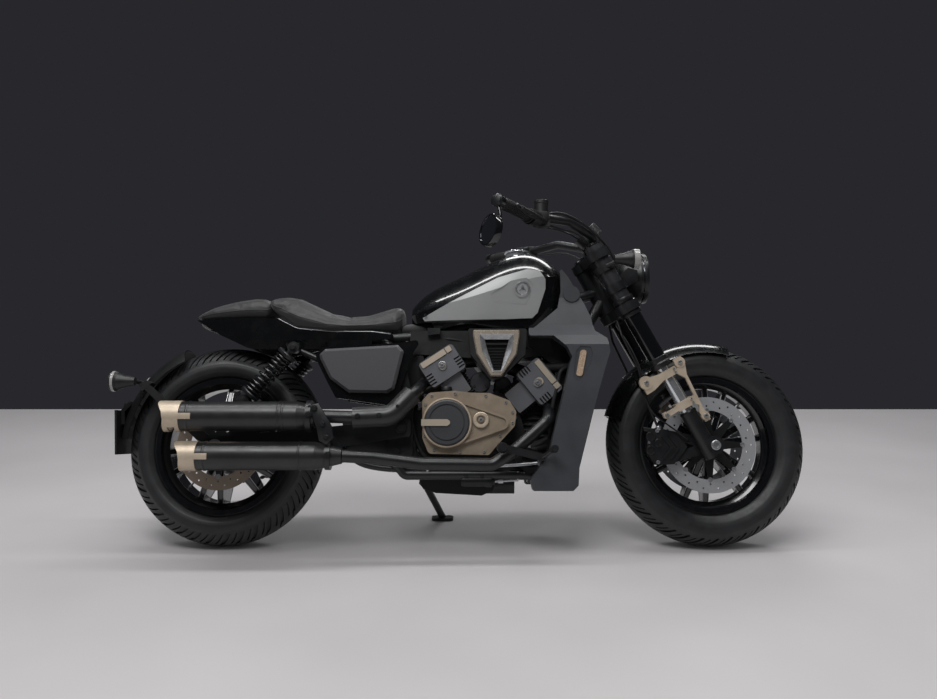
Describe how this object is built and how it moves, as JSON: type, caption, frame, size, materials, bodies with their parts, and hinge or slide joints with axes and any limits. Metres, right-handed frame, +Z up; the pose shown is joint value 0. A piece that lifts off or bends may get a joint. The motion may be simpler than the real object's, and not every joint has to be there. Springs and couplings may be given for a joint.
{
  "type": "cruiser motorcycle",
  "caption": "Low V-twin cruiser motorcycle on its side stand, with stacked side mufflers, upside-down fork and wide tyres.",
  "frame": {"origin": "on the ground under the middle of the bounding box of the parked machine", "axes": "+X forwards, +Y to the rider's left, the side it leans to, +Z up"},
  "size_m": [2.2002, 0.9002, 1.0995],
  "materials": {
    "gloss_black": "gloss black paint",
    "satin_silver": "satin silver paint",
    "satin_black": "satin black paint",
    "bronze": "anodised bronze aluminium",
    "bright_chrome": "polished chrome",
    "bright_steel": "machined steel",
    "dark_cast": "dark grey cast alloy",
    "charcoal_plastic": "textured charcoal plastic",
    "black_plastic": "black moulded plastic",
    "graphite": "satin graphite plastic",
    "tyre_rubber": "tyre rubber",
    "grip_rubber": "soft rubber",
    "vinyl": "black seat vinyl",
    "clear_lens": "clear lens"
  },
  "bodies": {
    "chassis": {"airbox": "black_plastic", "alternator_cover": "bronze", "clutch_cap": "satin_black", "clutch_cover": "bronze", "crankcase": "dark_cast", "drive_chain": "bright_steel", "drive_sprocket": "bright_steel", "exhaust_bracket": "satin_black", "exhaust_pipes": "satin_black", "filler_cap": "satin_black", "foot_controls": "satin_black", "frame": "satin_black", "front_cylinder": "dark_cast", "fuel_tank": "gloss_black", "head_covers": "dark_cast", "heat_shield": "satin_black", "intake_cover": "bronze", "lower_muffler": "satin_black", "muffler_tips": "bronze", "pillion_pad": "vinyl", "plate_bracket": "black_plastic", "radiator": "charcoal_plastic", "radiator_shrouds": "charcoal_plastic", "rear_cylinder": "dark_cast", "rear_hugger": "black_plastic", "rear_lamps": "black_plastic", "rider_seat": "vinyl", "shock_springs": "satin_black", "shocks": "satin_black", "shroud_inserts": "bronze", "side_covers": "graphite", "swingarm": "satin_black", "tail_cowl": "gloss_black", "tank_side_panels": "satin_silver", "upper_muffler": "satin_black"},
    "steering": {"yokes": "satin_black", "fork_outer_tubes": "satin_black", "fork_inner_tubes": "bright_chrome", "fork_feet": "satin_black", "fork_clamps": "bronze", "handlebar": "satin_black", "bar_risers": "satin_black", "grips": "grip_rubber", "bar_end_mirrors": "satin_black", "hand_controls": "black_plastic", "gauge": "black_plastic", "headlamp": "satin_black", "headlamp_lens": "clear_lens", "front_indicators": "black_plastic", "front_fender": "gloss_black", "front_calipers": "satin_black", "brake_hoses": "grip_rubber"},
    "front_wheel": {"front_tyre": "tyre_rubber", "front_rim": "satin_black", "front_discs": "bright_steel"},
    "rear_wheel": {"rear_tyre": "tyre_rubber", "rear_rim": "satin_black", "rear_disc": "bright_steel", "rear_sprocket": "bright_steel"},
    "side_stand": {"side_stand": "satin_black"}
  },
  "joints": [
    {"name": "steering_pivot", "type": "hinge", "parent": "chassis", "child": "steering", "pos_m": [0.73298, -0.12197, 0.28498], "axis": [-0.4726, 0.1682, 0.8651], "range_deg": [-32, 32]},
    {"name": "front_wheel_spin", "type": "hinge", "parent": "steering", "child": "front_wheel", "pos_m": [0.7841, -0.11674, 0.31188], "axis": [0, 0.9816, -0.1908], "continuous": true},
    {"name": "rear_wheel_spin", "type": "hinge", "parent": "chassis", "child": "rear_wheel", "pos_m": [-0.7559, -0.11731, 0.30894], "axis": [0, 0.9816, -0.1908], "continuous": true},
    {"name": "side_stand_fold", "type": "hinge", "parent": "chassis", "child": "side_stand", "pos_m": [-0.12893, -0.00924, 0.16263], "axis": [0.1294, 0.7497, 0.649], "range_deg": [0, 100.1]}
  ]
}
